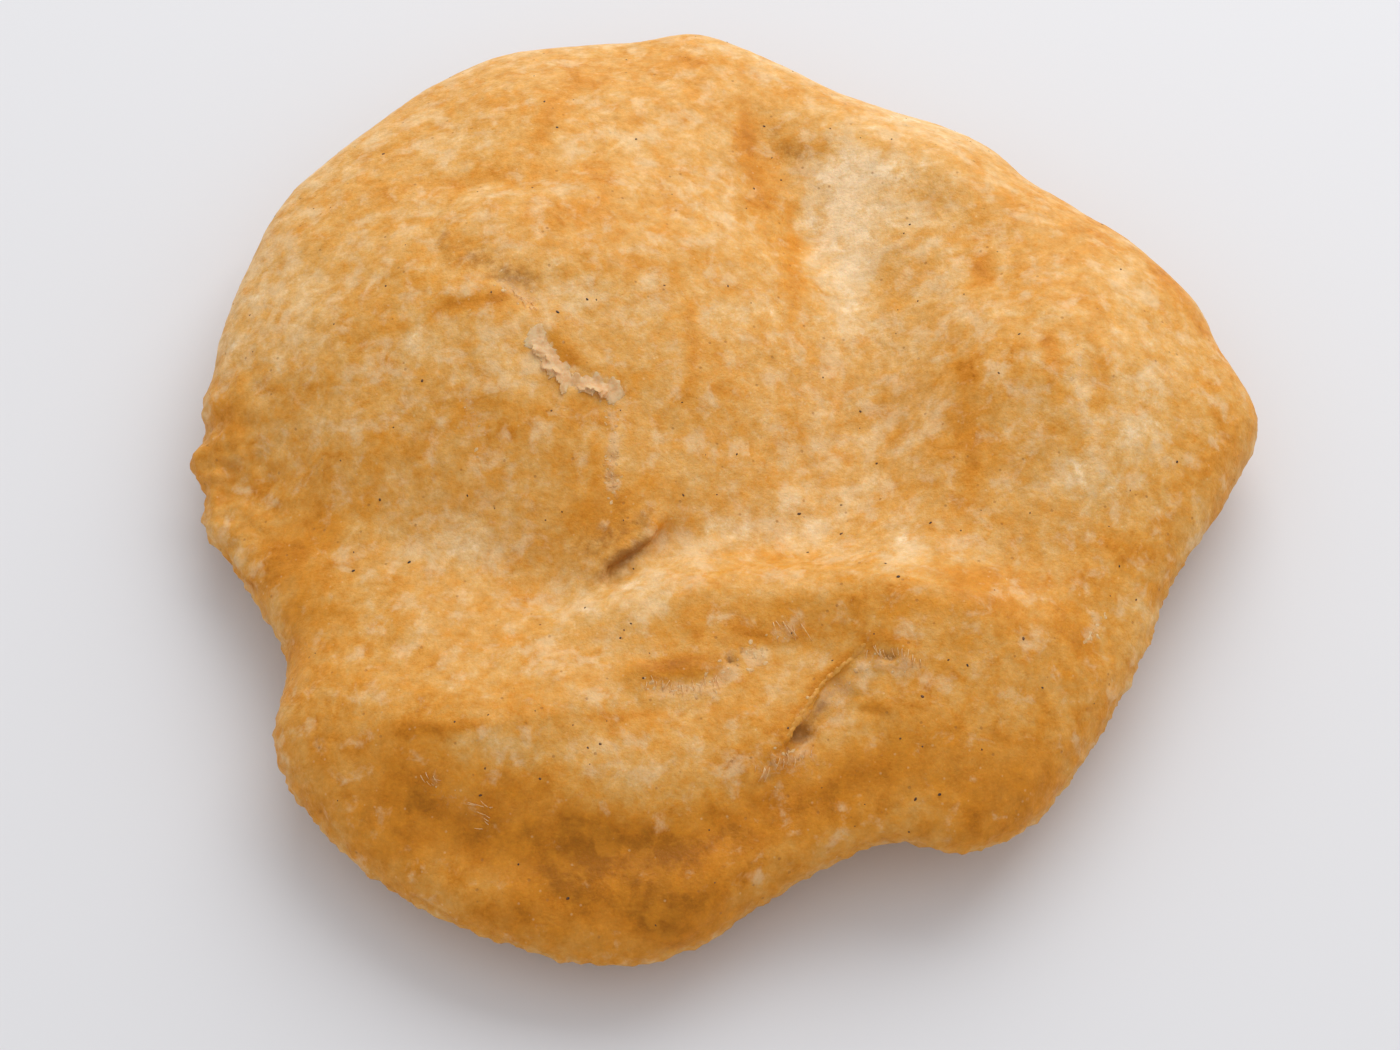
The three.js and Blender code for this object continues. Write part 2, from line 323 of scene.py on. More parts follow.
# %% The wrinkles and folds
WRINKLES = {
    # corners with the upper sheet on the left, lip, hollow, lip width, hollow width, lap, all mm
    "crevice": ([(-14.5, -20.2), (-12.9, -18.5), (-11.2, -17), (-9.4, -15.6), (-8.2, -13.9),
                 (-7, -12)],
                0.2, 0.9, 1.0, 0.9, 0.3),
    "upper_fold": ([(-13, -33.6), (-10.2, -33.4), (-7.4, -33.6), (-4.4, -33.2), (-1.4, -32),
                    (0.2, -30.6)],
                   0.15, 0.05, 0.8, 0.8, 0.0),
    "upper_fold_left": ([(-36.5, -39.4), (-31.5, -40.1), (-26, -40.3), (-21, -39.3), (-16, -37.6)],
                        0.08, 0.1, 0.8, 0.9, 0.0),
    "right_fold": ([(5.6, -41), (6.8, -38.8), (8.4, -36.1), (9.5, -34.3), (11.9, -31.9), (13.2, -30.6)],
                   0.2, 0.5, 0.5, 0.9, 0.3),
    "right_fold_end": ([(12.6, -31.2), (14.5, -29.6), (16.4, -29.7), (18.8, -30.6), (21, -32)],
                       0.15, 0.1, 0.5, 0.6, 0.0),
    "front_ridge": ([(33.6, -25), (23.8, -23), (17.5, -21.5), (12, -19.4), (6.8, -17.6), (1.3, -19),
                     (-3, -21.2), (-6.3, -23.2), (-9.5, -25.2)],
                    0.15, 0.1, 1.0, 0.8, 0.0),
    "arc": ([(-32.5, 32), (-28.3, 30.8), (-23.7, 30.2), (-19.7, 31.6), (-14, 35.2)],
            0.08, 0.12, 1.3, 1.4, 0.0),
    "dent_top": ([(-33, 23), (-32, 20.2), (-30, 18.4), (-26.5, 17), (-23, 15.4), (-20.5, 14.4)],
                 0.05, 0.1, 1.0, 1.0, 0.0),
    "dent_rim": ([(-33.4, 8.8), (-32.5, 10.9), (-30.2, 12), (-26.5, 11.9), (-23.6, 11.6)],
                 0.12, 0.15, 0.9, 0.9, 0.0),
    "above_flake": ([(-20, 8.4), (-18.6, 6), (-16.6, 4.4), (-13.4, 3.4)],
                    0.1, 0.15, 0.8, 0.7, 0.0),
    "hollow_head": ([(5.2, 39.6), (7.2, 39.9), (9.4, 39.2)], 0.1, 0.15, 0.9, 1.0, 0.0),
    "swirl_left": ([(36.6, 8), (37.4, 4.7), (38.0, 1.4), (37.8, -1)], 0.1, 0.1, 0.8, 0.9, 0.0),
    "swirl_right": ([(41.8, -1), (43.2, 3), (42.6, 7.4), (40.6, 9)], 0.1, 0.08, 0.9, 0.9, 0.0),
    "bottom_groove": ([(-31, -49.8), (-22, -51), (-13.5, -49.8), (-6, -48.8), (4.5, -45.4)],
                      0.15, 0.15, 2.0, 2.0, 0.0),
    "right_crease": ([(13.6, -36.3), (15.7, -36.6), (18, -37.6)], 0.1, 0.15, 0.5, 0.5, 0.0),
    "flake": ([(-12, 1), (-13.8, 1.7), (-15.4, 2), (-17, 1.5), (-18.4, 3), (-19.6, 4.8), (-21.6, 7.6)],
              0.12, 0.2, 0.5, 0.5, 0.15),
}

FOLD_DRIFT = 0.4  # mm
FOLD_FADE = 0.2  # share of a fold's length over which each end fades
PAST_THE_LINE = -0.2  # mm, so that a lapping edge takes the line itself with it

for name, (corners, lip, hollow, lip_width, hollow_width, lap) in WRINKLES.items():
    distance, share = trace(corners, drift=FOLD_DRIFT)
    ends = smooth_step(np.minimum(share, 1 - share), 0, FOLD_FADE) * on_top
    reach = np.abs(distance) / np.where(distance > 0, lip_width, hollow_width)
    swell = reach * np.exp(0.5 - 0.5 * reach**2) * ends
    press(name + "_lip", swell * (distance > 0), lip)
    press(name + "_hollow", swell * (distance <= 0), -hollow)
    if lap:
        line = path(corners)
        run = (line[-1] - line[0]) / np.hypot(*(line[-1] - line[0]))
        edge = np.exp(-((distance / lip_width) ** 2)) * (distance > PAST_THE_LINE) * ends
        press(name + "_lap_x", edge, lap * run[1], "X")
        press(name + "_lap_y", edge, -lap * run[0], "Y")
print(len(WRINKLES), "wrinkles and folds")

# %% [markdown]
# Under some folds a softer sheet of dough wells up again and nearly fills the hollow. A soft
# stroke that pushes outwards does that.

# %% Sheets that swell under the folds
SHEETS = {
    # corners, width, rise, share of the line over which each end fades
    "under_right_fold": ([(12.6, -34), (14.4, -32), (17, -31.4), (20.4, -32.4)], 1.4, 0.6, 0.15),
    "lens": ([(-11.4, -32.6), (-6.4, -32.3), (-1.8, -30.8)], 1.0, 0.2, 0.15),
    "under_lens": ([(-9.6, -34.8), (-4.6, -35), (-0.8, -33.4)], 1.1, 0.35, 0.15),
    "in_dent": ([(-32, 21.6), (-30.4, 18.4), (-27, 16.2), (-23.4, 14.2)], 1.6, 0.35, 0.15),
    "valley_floor": ([(14, -4), (13.6, 14), (15, 34)], 6.0, 1.2, 0.5),
}
for name, (corners, width, rise, fade) in SHEETS.items():
    press(name, along_line(corners, width, fade=fade), rise)
print(len(SHEETS), "sheets")

# %% [markdown]
# Small holes and bubbles come next: round pits where steam tore the skin open, and round bumps
# where it didn't.

# %% Pits and bubbles
PITS = [
    # centre, radius, rise: below zero for a pit, above for a bubble
    ((7.9, -38.6), 0.7, -0.5),
    ((7.5, -39.4), 1.0, -0.7),
    ((6.5, -40.6), 0.6, -0.5),
    ((5.3, -41.4), 0.5, -0.5),
    ((4.5, -42.5), 0.6, -0.4),
    ((4.3, -43.8), 0.5, -0.35),
    ((3.3, -44.4), 0.5, -0.35),
    ((17.4, -30.9), 0.5, -0.5),
    ((0.1, -30.6), 0.5, -0.6),
    ((1.3, -29.5), 0.4, -0.35),
    ((-25.4, 14.4), 0.8, -0.3),
    ((-22.2, 11.6), 0.7, -0.3),
    ((-12.6, -8.6), 0.5, -0.4),
    ((-12.5, -6.4), 0.45, -0.3),
    ((-13.1, -3.2), 0.4, -0.25),
    ((5.0, -42.0), 0.5, 0.3),
    ((2.6, -44), 0.6, 0.3),
    ((7.6, -8.2), 1.3, 0.35),
    ((18.5, -21), 1.0, 0.2),
]
SMALL_DRIFT = 0.3  # mm, so that a small patch keeps its shape

for number, (centre, radius, rise) in enumerate(PITS):
    press(f"pit_{number}", patch(centre, (radius, radius), drift=SMALL_DRIFT), rise)
print(len(PITS), "pits and bubbles")

# %% [markdown]
# Frying raises blisters: steam lifts the skin in soft lumps of every size. Cloud textures of
# three sizes move the skin along its normal. The underside gets the same lumps, but not on the
# very sole, so the bake still rests where the solid does.

# %% Blisters
def cloud(name, size, depth=1):
    """A Clouds texture with lumps of a size in millimetres."""
    texture = bpy.data.textures.new(name, "CLOUDS")
    texture.noise_basis = "IMPROVED_PERLIN"
    texture.noise_scale = size * MM
    texture.noise_depth = depth
    return texture


BLISTERS = [
    # name, size and height in mm, rounds of finer detail
    ("swells", 6.5, 0.3, 0),
    ("blisters", 2.6, 0.14, 1),
    ("grain", 1.1, 0.12, 1),
]
SOLE_KEPT, RIM_FREE = 0.4, 2.5  # mm over the table where the lumps begin and are full

underside = 1 - on_top
clear_of_sole = smooth_step(start[:, 2], SOLE_KEPT, RIM_FREE)
for name, size, height, detail in BLISTERS:
    lumps = cloud(name, size, detail)
    press(name, on_top, height, texture=lumps, middle=0.5)
    press(name + "_below", underside * clear_of_sole, height, texture=lumps, middle=0.5)
print(len(BLISTERS), "sizes of blister")

# %% [markdown]
# The edge of the left lip fried thin and crimped. Coarser lumps on that stretch alone make the
# small bumps along its outline. All round the rim the skin is a little ragged, where the dough
# was pulled, most of all along the front.

# %% The crimped lip and the ragged rim
LIP_CENTRE, LIP_REACH = (-58, -4), (7, 13)  # mm
CRIMP_SIZE, CRIMP_HEIGHT = 2.8, 3.0
RAG_SIZE, RAG_HEIGHT = 1.4, 1.7
RIM_FACING, RIM_SPREAD = -0.2, 0.55  # upward part of the normal at the rim's widest line
BACK_RAG = 0.35  # share of the raggedness that the back keeps
RAG_START, RAG_FULL = -10, 30  # mm in front of the middle

lip_zone = np.exp(-(((start[:, 0] - LIP_CENTRE[0]) / LIP_REACH[0]) ** 2
                    + ((start[:, 1] - LIP_CENTRE[1]) / LIP_REACH[1]) ** 2))
press("crimps", lip_zone, CRIMP_HEIGHT, texture=cloud("crimps", CRIMP_SIZE), middle=0.5)
rim_zone = np.exp(-(((start_facing[:, 2] - RIM_FACING) / RIM_SPREAD) ** 2)) * clear_of_sole
rim_zone *= BACK_RAG + (1 - BACK_RAG) * smooth_step(-start[:, 1], RAG_START, RAG_FULL)
press("ragged_rim", rim_zone, RAG_HEIGHT, texture=cloud("ragged_rim", RAG_SIZE, 1), middle=0.5)
print("the crust is now", [round(side / MM, 1) for side in crust.dimensions], "mm")

# %% [markdown]
# ## Browning, with painted light and shade
# The colour of a crust tells how long each spot was in hot oil. Toast and shading is one number for each
# vertex: above zero where the skin stood proud or thin and took the most heat, below zero where
# steam or a fold kept the oil away. Along the front it also holds painted shade, and in the valley
# painted light. It is painted in soft ovals, area by area.

# %% Where the crust browned, and where light and shade are painted
TOAST_AND_SHADING = {
    # centre, reach across and along in mm, turn in degrees, strength
    # the valley is pale crust, painted lighter still as painted light where its slopes turn from the lamp
    "valley": [
        ((13, 30), (4.6, 6), 0, -1.1), ((15, 36.6), (5.6, 4.2), -20, -1.0),
        ((14, 19), (3.4, 8), 0, -1.0), ((20, 30), (4, 5), 0, -0.6), ((24, 22), (2.6, 6), 0, -0.5),
        ((27, 14), (2.6, 4), 0, -0.55), ((25.4, 33.4), (2, 3), 0, -0.5), ((1, 10), (2.6, 3), 0, -0.35),
        ((18.6, 12), (3.4, 3.4), 0, -0.5), ((14, -4), (4.6, 8), -5, -0.4),
        ((19, -17.5), (2.6, 4.4), 10, -0.8), ((10, -12.5), (5, 3), 0, -0.6),
        ((0, -12.6), (7.5, 2.2), 15, -0.45), ((-6, -17), (7, 2.6), 14, -0.65),
        ((-12, -22), (6, 2.5), 15, -0.85), ((-18, -28), (3.4, 4.6), -15, -0.5),
    ],
    "pale spots": [
        ((-30, -15), (5, 3), 0, -0.75), ((39, -8), (5, 4), 0, -0.7), ((45, -4), (4, 4), 0, -0.45),
        ((-33, 37), (3.6, 3.4), 0, -0.6), ((-9, 37), (3.6, 3), 0, -0.5), ((45, 18), (3, 3.4), 0, -0.55),
        ((-34.5, 8.5), (1.6, 4), 0, -0.7), ((-18, 12.4), (2.6, 1.6), 0, -0.65),
        ((-25, 5), (5, 3), 0, -0.25), ((-51, 17), (7, 7), 0, -0.65), ((-10, -43.5), (5, 3), 0, -0.7),
        ((-2, -40), (5, 3), 10, -0.15), ((-12, 10.5), (4, 3), 0, -0.45), ((46, 3.4), (4, 5), 0, -0.5),
        ((4, 20), (2, 6), 0, -0.2), ((-24, -41.5), (5.4, 1.4), -5, -0.8),
        ((-14.5, -36), (3.4, 2), 0, -0.4), ((6.8, -8), (1.6, 1.6), 0, -0.7),
        ((-28, 26), (5, 4), 0, -0.25), ((-1.6, 27), (2.6, 8), 0, -0.35),
        ((38.8, 2.4), (1.1, 3.6), 0, -0.7), ((52.4, 13), (2.6, 4), 10, -0.3),
        ((-12, 43), (4, 3), 0, -0.25), ((16.6, -31.9), (4.2, 1.4), -4, -0.15),
        ((13, -34.6), (2.4, 2), 40, -0.3), ((3.2, -30), (2.4, 0.9), 12, -0.95),
        ((-4, -35), (4, 1.2), 4, -0.4), ((-30, -33), (7, 3), 0, -0.15),
        ((10.8, -37.6), (2.4, 1.8), 40, -0.35), ((26, -37), (4, 2), 0, -0.2),
    ],
    "far edge": [
        ((-24, 60), (20, 5.4), 8, -0.7), ((12, 55), (12, 4), -22, -0.75), ((29, 46), (10, 4), -28, -0.6),
        ((-46, 43), (4.6, 12), -42, -0.7), ((-56, 24), (3, 14), -14, -0.45), ((22, 43), (6, 4), 0, -0.6),
        ((40, 38), (8, 2), -38, -0.4),
    ],
    "left lip": [
        ((-58, 1), (3.6, 7.4), 0, 0.55), ((-51, 4), (8, 3), 0, 0.25), ((-49, -14), (4.4, 7), 25, 0.8),
        ((-44, -11.2), (2.6, 2.2), 0, 0.6), ((-46, -25), (2.6, 9), 5, 0.3), ((-47, -5), (6, 3), 0, 0.25),
    ],
    # darker along the front edge: partly browner crust, partly painted shade on the wall turned from the
    # light
    "front edge": [
        ((-34, -45), (4.6, 4.6), -10, 0.75), ((-28, -49), (7, 3), -6, 0.7),
        ((-31.6, -39.5), (5.4, 1.0), -2, 0.4), ((-22, -46), (3.4, 1.6), 0, 0.5),
        ((-13, -54), (9.4, 4.8), 0, 1.35), ((-6, -58.4), (6, 2.6), 8, 0.5),
        ((-22, -57), (3, 2), 0, 0.4), ((-3, -50.4), (6, 2.6), 8, 0.45),
        ((-42, -39.5), (4.6, 4.6), -40, 0.25), ((5, -47), (6.4, 2.4), 22, 0.6),
        ((-14, -50), (7, 2), 0, 0.5), ((5.2, -41.4), (1.2, 2.2), -35, 0.6),
        ((6.6, -42.2), (1.4, 1.4), 0, 0.4),
    ],
    "folded lobes": [
        ((-5.6, -32), (5.6, 1.2), 9, 1.0), ((28, -24), (6.6, 4), -8, 0.7),
        ((19, -25), (6.4, 2.6), -4, 0.4), ((9, -25.4), (7, 2.2), 0, 0.5),
        ((-1, -27.6), (6.4, 1.8), 12, 0.4), ((37.4, -26.4), (2.6, 3), 0, 0.6),
        ((33, -31.6), (4, 3), 0, 0.45), ((30, -43), (8, 4.4), 32, 0.65),
        ((22, -38.6), (5, 3.2), 30, 0.4), ((14, -44), (8, 3), 14, 0.65),
        ((11, -32.2), (3.6, 0.7), 45, 0.4), ((17.6, -29.2), (3.6, 0.7), -14, 0.4),
        ((3.4, -27.6), (2.8, 0.7), -20, 0.2), ((-12.5, -38), (4.4, 0.8), 15, 0.25),
        ((40, -18), (3.6, 6), -10, 0.35), ((46, -14), (2.4, 8), -30, 0.5),
        ((16, -36.2), (3, 0.6), -12, 0.3),
    ],
    "domes": [
        ((27, -4), (2.6, 8), 4, 0.55), ((-27, 31), (9, 1.4), 3, 0.45), ((-30, 18), (2.8, 1.8), -40, 0.5),
        ((-31, 22), (1.4, 2.6), 15, 0.4), ((-28.5, 11.2), (5, 1.0), 3, 0.65),
        ((-38, 9.4), (3, 1.3), 0, 0.5), ((-14.6, -13), (4, 5), -10, 0.65),
        ((-10.6, -11.6), (3, 2.4), 30, 0.45), ((-17, 23.4), (4, 1.8), 0, 0.55),
        ((-14, 28), (1.4, 5.4), 0, 0.35), ((-5, 52), (5.4, 2.8), 0, 0.6), ((-16.6, 47), (2.6, 4), 0, 0.4),
        ((-21, 39), (1.6, 7), 0, 0.35), ((2.6, 42), (1.5, 5), 0, 0.6), ((4, 34), (2.2, 6), 0, 0.45),
        ((10, 39.4), (4, 1.1), -28, 0.65), ((7.2, 24), (1.4, 7.6), -4, 0.4), ((28.8, 20), (1.4, 3), 0, 0.7),
        ((32.6, 20), (1.1, 2.8), 0, 0.4), ((36.2, 5.6), (0.9, 5), 0, 0.45), ((41.2, 4.2), (1.1, 4), 0, 0.4),
        ((57.4, 1), (2.8, 5), 0, 0.5), ((53.6, -4), (3, 3), 0, 0.4), ((52, 20), (1.8, 4), 25, 0.5),
        ((42, 27), (7, 2.2), -32, 0.35), ((-17.4, 5.6), (2.8, 1.0), -45, 0.7), ((-4, 7), (1.4, 6), 0, 0.4),
        ((-20, -3), (9, 5), 0, 0.2), ((-38, -3), (6, 4), 0, 0.05), ((-36, 14.4), (3, 1.4), 0, 0.3),
    ],
}
print(sum(len(area) for area in TOAST_AND_SHADING.values()), "patches of browning in", len(TOAST_AND_SHADING), "areas")

# %% [markdown]
# Folds and stretched skin brown in streaks. Where the skin opened, the pinkish crumb shows in
# torn strips, and narrow pockets, creases and pits get painted shade, a deeper brown than their
# surroundings. Each of these has a list of its own, because each is drawn or coloured in another way.

# %% Streaks, tears and pockets
TORN = [
    # corners, half-width, strength: strips of open crumb
    ([(-21.6, 8), (-20, 5.6), (-19, 4), (-17.6, 2.2), (-15.4, 2.2), (-13.8, 1.6), (-12.2, 1)], 0.8, 0.7),
    ([(-13.2, 0.6), (-12.8, -2), (-12.5, -5), (-12.5, -8), (-12.8, -11.4)], 0.9, 0.6),
    ([(-26, 14.4), (-23.6, 13), (-22, 11.2)], 1.3, 0.55),
    ([(-28.8, 1), (-27.6, -3), (-27, -6.4)], 0.9, 0.4),
    ([(-9, -34.2), (-4.5, -34.4), (-2, -33.8), (-0.6, -32.2), (1, -31)], 1.2, 0.6),
    ([(1.2, -30.8), (2.8, -30), (3.8, -29.4)], 1.4, 0.8),
    ([(13.4, -31.5), (15.2, -31.2), (17.4, -31.8), (19.6, -32)], 1.1, 0.55),
    ([(9, -36.6), (11.4, -34.4), (13.6, -33.2)], 1.4, 0.45),
    ([(3, -44.2), (5, -42.6), (7.4, -41.6), (9.2, -40.6)], 1.6, 0.45),
    ([(4, -27), (6, -26.6), (8, -27)], 1.3, 0.35),
    ([(38.2, -27), (39.6, -25.6), (40.4, -22.8)], 0.7, 0.6),
    ([(39, 7), (39.2, 3.6), (38.8, 0)], 0.9, 0.5),
    ([(-33, -44.6), (-29, -46.4), (-25, -48.6)], 1.0, 0.25),
]
SHADE = [
    # centre, reach, turn, strength: painted shade in pockets, creases and pits
    ((-11.2, -17.2), (4.0, 1.0), 40, 1.1), ((-13.4, -15.2), (5, 3), 34, 0.5),
    ((-9.6, -13), (2.4, 1.6), 45, 0.5), ((-31.9, 21), (1, 3), 15, 0.5),
    ((-28, 17.6), (4, 2.2), -30, 0.5), ((-24.2, 15), (3.8, 2.2), -22, 0.55),
    ((7.6, -39), (1.8, 1.0), 52, 0.8), ((6.6, -40.9), (0.9, 0.6), 40, 0.6),
    ((4.4, -42.6), (0.5, 0.6), 0, 0.4), ((0, -30.6), (0.45, 0.4), 0, 0.9),
    ((1.3, -29.5), (0.35, 0.3), 0, 0.7), ((17.2, -30.7), (0.9, 0.3), -15, 0.8),
    ((10, -35.9), (3, 0.8), 52, 0.6), ((8.2, 39.2), (3, 1.2), -25, 0.45),
    ((5.8, 41.6), (1.4, 1.8), 0, 0.3),
]
STREAKS = [
    # corners, half-width, strength: amber along folds and stretched skin
    ([(-37, 31.8), (-29, 30.8), (-23, 30.4), (-19, 31.8)], 1.1, 0.15),
    ([(-9, -28), (-4, -25.6), (2, -24.2), (8, -23.6)], 0.9, 0.35),
    ([(6.2, -38.8), (8.2, -35.6), (9.6, -33.6), (11.8, -31.3), (14.2, -29)], 0.5, 0.6),
    ([(14.2, -29), (17, -28.9), (19.6, -30)], 0.6, 0.35),
    ([(36.2, 9), (35.8, 5), (36.8, 0)], 0.9, 0.3), ([(40, 9), (42, 5), (41, -1)], 0.8, 0.25),
    ([(-16, -38.6), (-10, -37.5), (-6, -37.1)], 0.6, 0.35), ([(-33, -39.7), (-26, -39.3)], 0.7, 0.3),
    ([(0.4, -27.6), (3.4, -27.5), (5, -29.2), (5.2, -31)], 0.5, 0.4),
    ([(-19.6, 7.2), (-18.4, 5.2), (-16.8, 3.9)], 0.8, 0.6),
    ([(-33, 9), (-32, 11), (-28, 11.7), (-24.6, 11.5)], 0.7, 0.4),
    ([(2, 45), (3, 36), (5, 28)], 1.0, 0.35), ([(7, 33), (8, 25), (7, 17)], 1.0, 0.4),
    ([(27.6, 8), (26, 0), (28, -8)], 1.5, 0.4), ([(28.6, 23), (29, 19), (28.6, 16)], 1.0, 0.4),
    ([(48, 26), (52, 20), (54, 14)], 1.2, 0.4), ([(-10, -31.5), (-5.6, -31), (-2, -30.2)], 0.35, 0.4),
    ([(-24, -24), (-31, -28), (-36, -34)], 1.2, 0.3), ([(22, -21), (29, -20), (35, -22)], 1.2, 0.4),
    ([(-48, -20), (-47, -27), (-47.5, -34)], 1.2, 0.4), ([(-14, 50), (-20, 44), (-22, 36)], 1.2, 0.3),
    ([(-4.6, 14), (-3.6, 8), (-4.4, 2)], 0.9, 0.35), ([(14, -36.4), (17.6, -37)], 0.5, 0.4),
]
print(len(STREAKS), "streaks,", len(TORN), "tears,", len(SHADE), "pocket_shade")

# %% [markdown]
# The strokes are added up into three numbers for each vertex: toast and shading, torn, and painted
# shade. The whole front lay deeper in the oil and also gets painted shade on the side turned from
# the light, and the underside lay in the oil longest, so both get a little more. Overlapping tears
# and shaded pockets don't deepen each other, so there the stronger one counts.

# %% Add the browning and the painted light and shade up
STREAK_DRIFT = 0.35  # mm
FRONT_TOAST_AND_SHADE, FRONT_START, FRONT_FULL = 0.45, 15, 56  # mm in front of the middle
UNDERSIDE_TOAST = 0.1
PALEST, BROWNEST = -1.3, 1.5

toast_and_shading, torn, shade = (np.zeros(len(start), np.float32) for _ in range(3))
for area in TOAST_AND_SHADING.values():
    for centre, reach, turn, strength in area:
        toast_and_shading += strength * patch(centre, reach, turn)
for corners, width, strength in STREAKS:
    toast_and_shading += strength * along_line(corners, width, drift=STREAK_DRIFT)
# darker towards the front: partly browner crust, partly painted shade
toast_and_shading += FRONT_TOAST_AND_SHADE * smooth_step(-start[:, 1], FRONT_START, FRONT_FULL) * on_top
toast_and_shading += UNDERSIDE_TOAST * underside
toast_and_shading = np.clip(toast_and_shading, PALEST, BROWNEST)
for corners, width, strength in TORN:
    torn = np.maximum(torn, strength * along_line(corners, width))
for centre, reach, turn, strength in SHADE:
    shade = np.maximum(shade, strength * patch(centre, reach, turn, drift=SMALL_DRIFT))

for name, values in {"toast_and_shading": toast_and_shading, "torn": torn, "shade": shade}.items():
    attribute = crust.data.attributes.new(name, "FLOAT", "POINT")
    attribute.data.foreach_set("value", np.ascontiguousarray(values, np.float32))
    print(name, "from", round(float(values.min()), 2), "to", round(float(values.max()), 2))

# %% [markdown]
# ## The finish
# Fried bread crust is starch and gluten dried hard, with a trace of oil: a dielectric with an
# index near 1.45, matt to satin, and a little translucent, so light bleeds through its edges.
# Its colour is never one brown. It runs from cream through gold to amber in soft patches some
# millimetres wide, with finer blotches inside them. So the pattern is a sum of clouds of falling
# size, and one helper makes a cloud while another adds weighted numbers up.

# %% Patterns for the crust
SOFT = {"interpolation_type": "SMOOTHSTEP"}  # a Map Range node that rises softly


def weighted_sum(tree, first, *terms):
    """first, plus each term's value times its weight."""
    result = first
    for value, weight in terms:
        added = node(tree, "Math", {"operation": "MULTIPLY_ADD"}, {0: value, 1: weight, 2: result})
        result = added.outputs[0]
    return result


def cloudiness(tree, place, size, detail, roughness, seed, swirl=0.0):
    """Noise around 0 with lumps of a size in mm, broken into finer ones, swirled, moved by seed."""
    shift = (seed * 0.01, seed * 0.013, 0)
    moved = node(tree, "Mapping", {}, {"Vector": place, "Location": shift})
    made = node(tree, "TexNoise", {"noise_dimensions": "3D"}, {
        "Vector": moved.outputs[0], "Scale": 1 / (size * MM), "Detail": detail,
        "Roughness": roughness, "Distortion": swirl})
    return weighted_sum(tree, -0.5, (made.outputs["Fac"], 1.0))


PATCH_SIZE = 7.5  # mm: broad patches of more and less frying
BLOTCH_SIZE = 2.9  # the blisters' own width
FLECK_SIZE = 0.95  # single blisters of steam
GRAIN_SIZE = 0.32  # the dusty grain of dried starch

crust_material, tree, shader = new_material("fried_bread_crust")
place = node(tree, "TexCoord", {}, {}).outputs["Object"]
patches = cloudiness(tree, place, PATCH_SIZE, 3, 0.55, 1, swirl=0.6)
blotches = cloudiness(tree, place, BLOTCH_SIZE, 4, 0.64, 2, swirl=0.4)
flecks = cloudiness(tree, place, FLECK_SIZE, 3, 0.65, 3)
grain = cloudiness(tree, place, GRAIN_SIZE, 2, 0.6, 5)
print("clouds of", PATCH_SIZE, BLOTCH_SIZE, FLECK_SIZE, GRAIN_SIZE, "mm")

# %% [markdown]
# The clouds and the painted toast and shading make one number, the tone, and a colour ramp turns that
# into crust: cream at one end, deep amber at the other. Well fried skin is an even, glassy amber, so
# the mottling is held back where the toast is strong.

# %% From tone to colour
EVEN_FROM, EVEN_AT = 0.2, 1.1  # toast where the mottling begins to fade and is faintest
FAINTEST = 0.15
STOPS = [(0.0, "F8D8AB"), (0.18, "E7BB7D"), (0.36, "DFA95E"), (0.5, "DB9F4D"),
         (0.64, "D8953B"), (0.78, "D18828"), (0.9, "C27714"), (1.0, "A66409")]

painted, opened, painted_shade_in_pockets = (
    node(tree, "Attribute", {"attribute_name": name}, {}).outputs["Fac"]
    for name in ("toast_and_shading", "torn", "shade")
)
mottled = node(tree, "MapRange", SOFT, {
    "Value": painted, "From Min": EVEN_FROM, "From Max": EVEN_AT, "To Min": 1.0,
    "To Max": FAINTEST}).outputs["Result"]
mottling = weighted_sum(tree, 0.0, (blotches, 1.15), (flecks, 0.45))
tone = weighted_sum(tree, 0.5, (painted, 0.36), (patches, 0.45), (mottling, mottled), (grain, 0.15))
ramp = node(tree, "ValToRGB", {}, {"Fac": tone})
for element, (position, code) in zip(ramp.color_ramp.elements, (STOPS[0], STOPS[-1])):
    element.position, element.color = position, colour(code)
for position, code in STOPS[1:-1]:
    ramp.color_ramp.elements.new(position).color = colour(code)
print(len(STOPS), "colours from cream to amber")

# %% [markdown]
# Over that lie spots of other stuff, each with a share that says how much of it shows. Amber is
# glassy, thinner skin. Frost is a dry, pale bloom on skin that stood clear of the oil. Torn strips
# show the crumb, pale and a little pink, with brown cells in it. Pockets get painted shade, brown
# with ragged edges. Pinholes, where a bubble of steam burst, are small dark dots, and on unburst
# ones pale dots are painted highlights.

# %% What lies over the crust
AMBER_SIZE, FROST_SIZE = 3.2, 2.8  # mm
PINHOLE_SPACING, GLINT_SPACING = 2.3, 1.6

ambers = cloudiness(tree, place, AMBER_SIZE, 3, 0.6, 7, swirl=0.4)
frosts = cloudiness(tree, place, FROST_SIZE, 4, 0.62, 6, swirl=0.3)
pinholes, bubbles = (
    node(tree, "TexVoronoi", {"feature": "F1"},
         {"Vector": place, "Scale": 1 / (spacing * MM)}).outputs["Distance"]
    for spacing in (PINHOLE_SPACING, GLINT_SPACING)
)
SPOTS = {
    # what decides, where it begins, where it is full, the most that shows
    "amber": (weighted_sum(tree, ambers, (painted, 0.05)), 0.02, 0.18, 0.45),
    "frost": (weighted_sum(tree, frosts, (painted, -0.11)), -0.02, 0.2, 0.6),
    "crumb": (weighted_sum(tree, opened, (flecks, 1.1), (grain, 0.5)), 0.2, 0.7, 0.6),
    "cells": (flecks, -0.06, -0.14, 1.0),
    "pinholes": (pinholes, 0.1, 0.04, 0.5),
    # bubbles: pale dots that are a painted highlight, light caught on unburst bubbles
    "bubbles": (bubbles, 0.12, 0.04, 0.25),
    # painted shade in pockets, creases and pits, with ragged edges
    "pocket_shade": (weighted_sum(tree, painted_shade_in_pockets, (flecks, 0.9)), 0.15, 0.95, 0.85),
}
shares = {}
